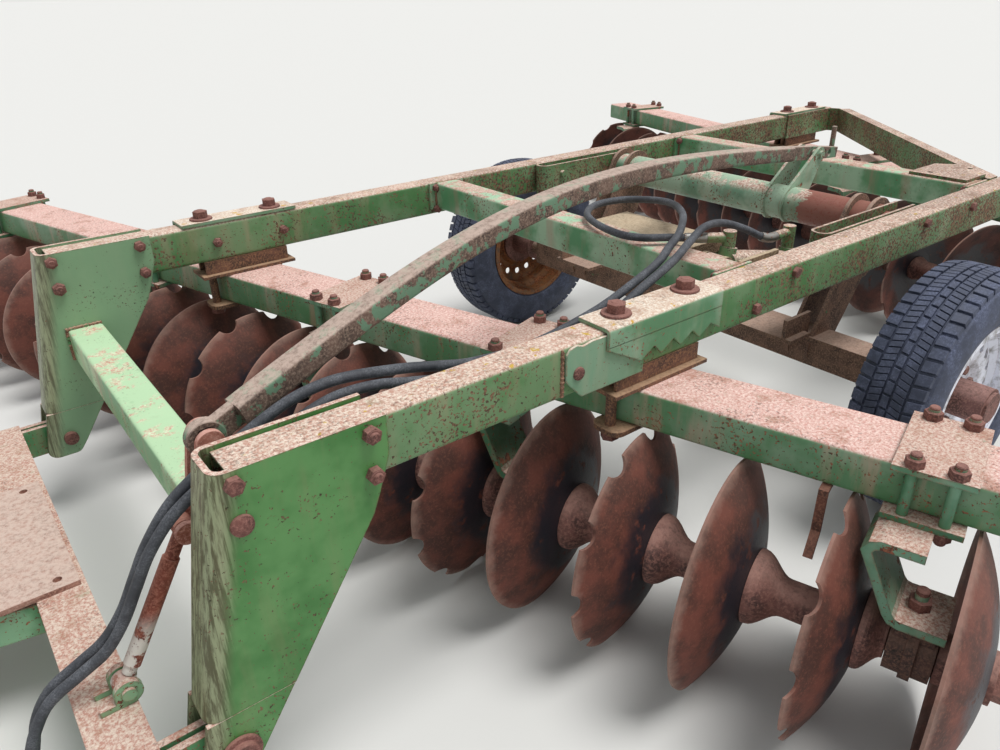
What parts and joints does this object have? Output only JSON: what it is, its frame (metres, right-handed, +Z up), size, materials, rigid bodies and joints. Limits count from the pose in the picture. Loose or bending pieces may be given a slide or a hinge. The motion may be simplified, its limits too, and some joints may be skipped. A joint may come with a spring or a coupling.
{
  "type": "offset disc harrow",
  "caption": "Towed offset disc harrow: beam frame on two transport wheels, two angled gangs of dished discs, lift rockshaft with cylinder and a levelled hitch.",
  "frame": {"origin": "middle of the whole machine's box, on the ground", "axes": "+X forward towards the towing eye, +Y to the machine's left, +Z up"},
  "size_m": [5.4357, 3.7919, 0.98],
  "materials": {
    "frame_paint": "weathered green paint with rust specks",
    "standard_paint": "worn green paint",
    "gang_beam_rust": "pink rust over worn paint",
    "bracket_rust": "brown rust",
    "bearing_iron": "dark cast iron with rust",
    "strap_rust": "dark rust",
    "disc_steel": "rust over worn steel",
    "spool_iron": "rust",
    "shaft_paint": "worn green paint with rust",
    "axle_rust": "orange rust",
    "rim_white": "chalky white paint",
    "rim_orange": "rusty paint",
    "tyre_rubber": "weathered rubber",
    "hub_rust": "rust",
    "barrel_paint": "worn green paint",
    "rod_chrome": "polished",
    "levelling_rust": "pink rust with green paint left",
    "crank_rust": "salmon rust",
    "link_rust": "rust",
    "hitch_paint": "weathered green paint",
    "plate_rust": "pink rust with lichen",
    "hose_rubber": "matt",
    "coupler_steel": "worn zinc"
  },
  "bodies": {
    "frame": {"side_beams": "frame_paint", "cross_tubes": "frame_paint", "hitch_plates": "frame_paint", "diagonal_brace": "frame_paint", "gang_saddles": "frame_paint", "front_gang_beam": "gang_beam_rust", "rear_gang_beam": "gang_beam_rust", "front_standards": "standard_paint", "rear_standards": "standard_paint", "front_bearings": "bearing_iron", "rear_bearings": "bearing_iron", "rockshaft_hangers": "frame_paint", "cylinder_bracket": "bracket_rust", "crank_lugs": "frame_paint", "loose_strap": "strap_rust", "hose_a": "hose_rubber", "hose_b": "hose_rubber", "coupler_a": "coupler_steel", "coupler_b": "coupler_steel"},
    "front_gang": {"front_plain_discs": "disc_steel", "front_notched_discs": "disc_steel", "front_spools": "spool_iron"},
    "rear_gang": {"rear_plain_discs": "disc_steel", "rear_notched_discs": "disc_steel", "rear_spools": "spool_iron"},
    "axle": {"rockshaft_pipe": "shaft_paint", "wheel_axle": "axle_rust"},
    "left_wheel": {"left_rim": "rim_white", "left_tyre": "tyre_rubber", "left_hub": "hub_rust"},
    "right_wheel": {"right_rim": "rim_orange", "right_tyre": "tyre_rubber", "right_hub": "hub_rust"},
    "barrel": {"cylinder_barrel": "barrel_paint"},
    "piston_rod": {"cylinder_rod": "rod_chrome"},
    "levelling_rod": {"levelling_rod": "levelling_rust"},
    "bell_crank": {"bell_crank": "crank_rust"},
    "hitch_link": {"hitch_link": "link_rust"},
    "hitch": {"hitch_tube": "hitch_paint", "tongue": "hitch_paint", "tongue_plate": "plate_rust"}
  },
  "joints": [
    {"name": "lift", "type": "hinge", "parent": "frame", "child": "axle", "pos_m": [-0.80766, 0.41252, 0.71], "axis": [0, 1, 0], "range_deg": [-20, 20]},
    {"name": "left_wheel_spin", "type": "hinge", "parent": "axle", "child": "left_wheel", "pos_m": [-0.59466, 1.32602, 0.355], "axis": [0, 1, 0], "continuous": true},
    {"name": "right_wheel_spin", "type": "hinge", "parent": "axle", "child": "right_wheel", "pos_m": [-0.59466, -0.50098, 0.355], "axis": [0, 1, 0], "continuous": true},
    {"name": "front_gang_spin", "type": "hinge", "parent": "frame", "child": "front_gang", "pos_m": [0.65278, 0.4491, 0.257], "axis": [-0.2974, 0.9548, 0], "continuous": true},
    {"name": "rear_gang_spin", "type": "hinge", "parent": "frame", "child": "rear_gang", "pos_m": [-1.89885, 0.38068, 0.257], "axis": [-0.2588, -0.9659, 0], "continuous": true},
    {"name": "barrel_swing", "type": "hinge", "parent": "frame", "child": "barrel", "pos_m": [-0.07966, 0.90752, 0.726], "axis": [0, 1, 0], "range_deg": [-0.4, 0.4]},
    {"name": "rod_slide", "type": "slide", "parent": "barrel", "child": "piston_rod", "axis": [-0.9775, 0, -0.2111], "range_m": [-0.0475, 0.0475]},
    {"name": "levelling_rod_swing", "type": "hinge", "parent": "axle", "child": "levelling_rod", "pos_m": [-0.93266, 0.61252, 0.854], "axis": [0, 1, 0], "range_deg": [-19.2, 19.2]},
    {"name": "crank_swing", "type": "hinge", "parent": "frame", "child": "bell_crank", "pos_m": [1.26235, 0.91252, 0.59], "axis": [0, 1, 0], "range_deg": [-20.1, 20.1]},
    {"name": "link_swing", "type": "hinge", "parent": "bell_crank", "child": "hitch_link", "pos_m": [1.30435, 0.91252, 0.58], "axis": [0, 1, 0], "range_deg": [-22, 22]},
    {"name": "hitch_swing", "type": "hinge", "parent": "frame", "child": "hitch", "pos_m": [1.33735, 0.41252, 0.245], "axis": [0, 1, 0], "range_deg": [-4.5, 4.5]}
  ],
  "couplings": [
    {"joint": "barrel_swing", "follows": "lift", "ratio": 0.019484},
    {"joint": "rod_slide", "follows": "lift", "m_per_rad": 0.13557},
    {"joint": "levelling_rod_swing", "follows": "lift", "ratio": -0.95474},
    {"joint": "crank_swing", "follows": "lift", "ratio": 1.0015},
    {"joint": "link_swing", "follows": "lift", "ratio": -1.0972},
    {"joint": "hitch_swing", "follows": "lift", "ratio": 0.22201}
  ]
}
